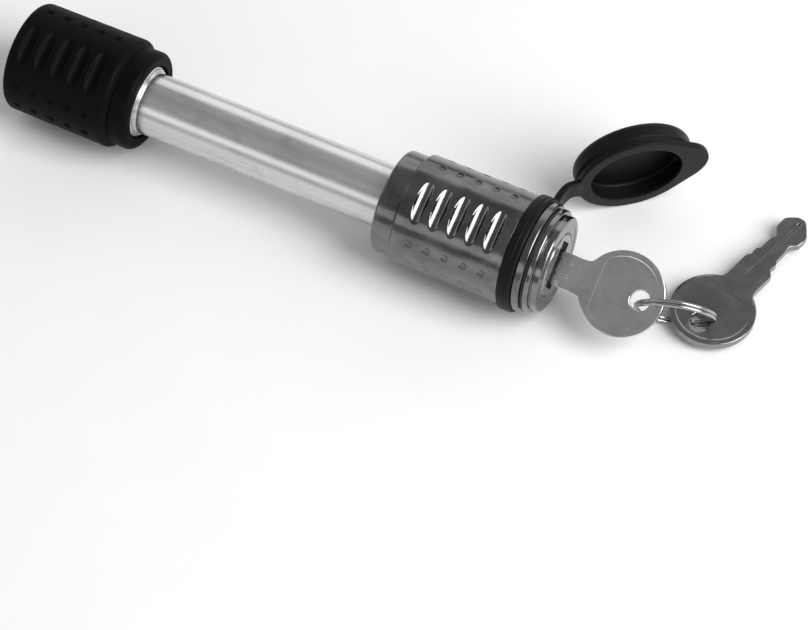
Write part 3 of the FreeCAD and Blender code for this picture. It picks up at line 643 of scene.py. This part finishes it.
cap_corners = [
    (5.2, 0, 0), (5.2, 12.9, 0.8), (1.1, 12.9, 0.12), (1.1, 11.5, 0.12), (0.0, 11.5, 0.22),
    (0.0, 12.55, 0), (0.0, 13.65, 0), (0.0, 14.73, 0.34), (1.5, 14.73, 0.34), (1.56, 14.28, 0.1),
    (1.95, 14.28, 0.16), (2.4, 14.86, 0.4), (6.72, 14.86, 2.4), (6.73, 6.0, 0), (6.75, 0, 0),
]
cap_profile = rounded(cap_corners, 8)
flange = [i for i, (x, r) in enumerate(cap_profile) if x <= 1.51 and r > 14.3]


def cap_shape(x, rr, ang, i):
    if i not in flange:
        return rr
    out = rr.copy()
    for k, a in enumerate(ang):
        off = abs((a - math.pi + math.pi) % (2 * math.pi) - math.pi)
        out[k] = rr[k] + tab_radius(off) - 14.73
    return out


v, f = revolve(cap_profile, 360, closed=False, shape=cap_shape)
cap = new_object("dust_cap_finish", v, f, MATS["band_rubber"], 38, matrix=CAP)
stand_in(cap, "dust_cap", "cap")


# ---------------------------------------------------------------- keys
DROP = 0.65


def key_outline():
    top = [
        (9.22, 4.42), (9.5, 4.13), (9.85, 3.93), (10.3, 3.81), (11.0, 3.73), (12.0, 3.7), (17.3, 3.88), (18.2, 3.78), (18.8, 3.42), (19.4, 3.05),
        (20.4, 3.28), (21.4, 3.3), (22.0, 2.85), (22.5, 2.52), (24.4, 2.6), (26.4, 2.68), (26.9, 2.3), (27.4, 2.0), (27.9, 2.02), (28.3, 2.25),
        (29.1, 3.0), (29.9, 3.68), (31.0, 3.85), (33.0, 3.93), (33.7, 3.6), (34.4, 2.98), (35.2, 2.05), (35.7, 1.35), (35.88, 0.7),
    ]
    low = [
        (35.88, -0.55), (35.3, -1.3), (34.2, -2.3), (33.1, -3.2), (32.1, -3.95), (31.0, -4.08), (28.9, -4.03), (28.1, -3.4), (27.3, -2.65), (26.1, -2.55),
        (25.0, -2.74), (21.9, -2.86), (21.2, -3.2), (20.6, -3.55), (19.8, -3.52), (18.9, -3.42), (18.4, -3.6), (17.9, -4.05), (17.3, -4.72), (16.6, -4.9),
        (12.0, -4.95), (11.0, -4.99), (10.3, -5.08), (9.85, -5.22), (9.5, -5.43), (9.22, -5.72),
    ]
    start = math.radians(31)
    bow = [(10.5 * math.cos(a), 10.5 * math.sin(a) - DROP) for a in np.linspace(start, 2 * math.pi - start, 150)]
    return bow + low[::-1] + top[::-1]


def field_loop(radius, chord):
    a = math.acos(chord / radius)
    return [(radius * math.cos(t), radius * math.sin(t) - DROP) for t in np.linspace(a, 2 * math.pi - a, 110)]


def make_key(name, matrix, material):
    hole = (circle(-4.6, 0.05 - DROP, 2.5, 64), 0.2)
    fields = [(s, field_loop(9.2, 6.7), 0.11, 0.5, [0]) for s in (1, -1)]
    slots = [(1, pill(12.9, 34.4, 0.1, 0.6), 0.42, 0.3, [])]
    slots += [(-1, pill(13.6, 26.2, 1.7, 0.45), 0.45, 0.2, []), (-1, pill(13.6, 33.0, -1.88, 0.42), 0.45, 0.2, [])]
    v, f = plate(key_outline(), 0.95, 0.17, [hole], fields + slots)
    return new_object(name, v, f, material, 55, matrix=matrix)


def basis(x, y, z, at):
    return Matrix(((x.x, y.x, z.x, at[0]), (x.y, y.y, z.y, at[1]), (x.z, y.z, z.z, at[2]), (0, 0, 0, 1)))


kx = Vector((-1, 0, 0))
key_1 = make_key("key_1_finish", basis(kx, TALL, kx.cross(TALL), (94.98, 0, 0)), MATS["key_nickel"])
stand_in(key_1, "key_1", "first_key")
a2 = math.radians(74.0)
k2x, k2y = Vector((math.cos(a2), math.sin(a2), 0)), Vector((-math.sin(a2), math.cos(a2), 0))
# the spare key takes the darker copy of the key nickel, its tone painted shade
key_2 = make_key("key_2_finish", basis(k2x, k2y, Vector((0, 0, 1)), (113.055, 12.519, -11.78)), MATS["spare_key_shaded_nickel"])
stand_in(key_2, "key_2", "spare_key")

# ---------------------------------------------------------------- split ring
RN = Vector((0.2514, -0.8832, -0.396)).normalized()
RC = Vector((107.414, 3.288, -5.036))
ru = (Vector((0, 0, 1)) - RN * RN.z).normalized()
rv = RN.cross(ru)
JOG = math.radians(34)
JOG_AT = math.radians(100)
ring_path, ring_frames, taper = [], [], []
total = 4 * math.pi - JOG
count = 460
for i in range(count + 1):
    s = total * i / count
    turn = JOG + s
    if turn < 2 * math.pi:
        lift = -0.44
    elif turn < 2 * math.pi + JOG:
        t = (turn - 2 * math.pi) / JOG
        lift = -0.44 + 0.88 * t * t * (3 - 2 * t)
    else:
        lift = 0.44
    a = JOG_AT + turn
    out = ru * math.cos(a) + rv * math.sin(a)
    ring_path.append(RC + out * 9.773 + RN * lift)
    ring_frames.append((out, RN))
    from_end = min(s, total - s) * 9.773
    taper.append(0.435 if from_end > 0.16 else 0.435 - 0.12 * (1 - from_end / 0.16) ** 2)
v, f = sweep(ring_path, ring_frames, lambda i: circle(0, 0, taper[i], 20))
ring = new_object("split_ring_finish", v, f, MATS["ring_steel"], 50)
stand_in(ring, "split_ring", "ring")

# ---------------------------------------------------------------- floor, light, camera
scene = bpy.context.scene
FLOOR_Z = -0.01473
fm = Mat("floor_paper", 0.0, specular=0.2)
fnoise = fm.noise(fm.mapped((40, 40, 40)), 1.0, 3, 0.5)
floor_mat = fm.finish(fm.ramp(fnoise, [(0.2, 0.84), (0.8, 0.86)]), fm.span(fnoise, 0.75, 0.85))
bpy.ops.mesh.primitive_plane_add(size=6, location=(0, 0, FLOOR_Z))
floor = bpy.context.object
floor.name = "floor"
floor.data.materials.append(floor_mat)

world = bpy.data.worlds.new("studio")
scene.world = world
world.use_nodes = True
world.node_tree.nodes["Background"].inputs[0].default_value = (0.60, 0.60, 0.60, 1)
world.node_tree.nodes["Background"].inputs[1].default_value = 0.50


def softbox(name, at, aim, wide, tall, radiance):
    """A rectangular soft light. radiance is how bright its face looks."""
    data = bpy.data.lights.new(name, "AREA")
    data.shape = "RECTANGLE"
    data.size, data.size_y = wide, tall
    data.energy = radiance * math.pi * wide * tall
    ob = bpy.data.objects.new(name, data)
    ob.location = at
    ob.rotation_euler = (Vector(aim) - Vector(at)).to_track_quat("-Z", "Y").to_euler()
    scene.collection.objects.link(ob)
    return ob


CENTRE = (0.025, 0, 0)
softbox("front_box", (-0.10, -0.84, 0.36), CENTRE, 1.3, 0.30, 1.0)
softbox("back_box", (0.0, 1.0, 0.50), CENTRE, 1.7, 0.75, 0.85)
softbox("right_box", (0.72, -0.03, 0.60), (0.03, 0, 0), 0.55, 0.85, 7.5)
softbox("left_box", (-0.95, 0.1, 0.5), CENTRE, 0.6, 0.5, 0.9)

cam_data = bpy.data.cameras.new("photo_view")
cam_data.sensor_width = 36.0
cam_data.lens = 146.5675
cam_data.clip_start = 0.01
cam = bpy.data.objects.new("photo_view", cam_data)
right = Vector((0.89408315, 0.44790101, 0.0))
up = Vector((-0.36558402, 0.72976508, 0.5777467))
back = Vector((0.25877333, -0.5165536, 0.81621612))
cam.matrix_world = Matrix((
    (right.x, up.x, back.x, 0.2528972), (right.y, up.y, back.y, -0.4318094), (right.z, up.z, back.z, 0.6357608), (0, 0, 0, 1)))
scene.collection.objects.link(cam)
scene.camera = cam
scene.view_settings.view_transform = "Standard"
scene.view_settings.look = "None"
scene.view_settings.exposure = 0.0
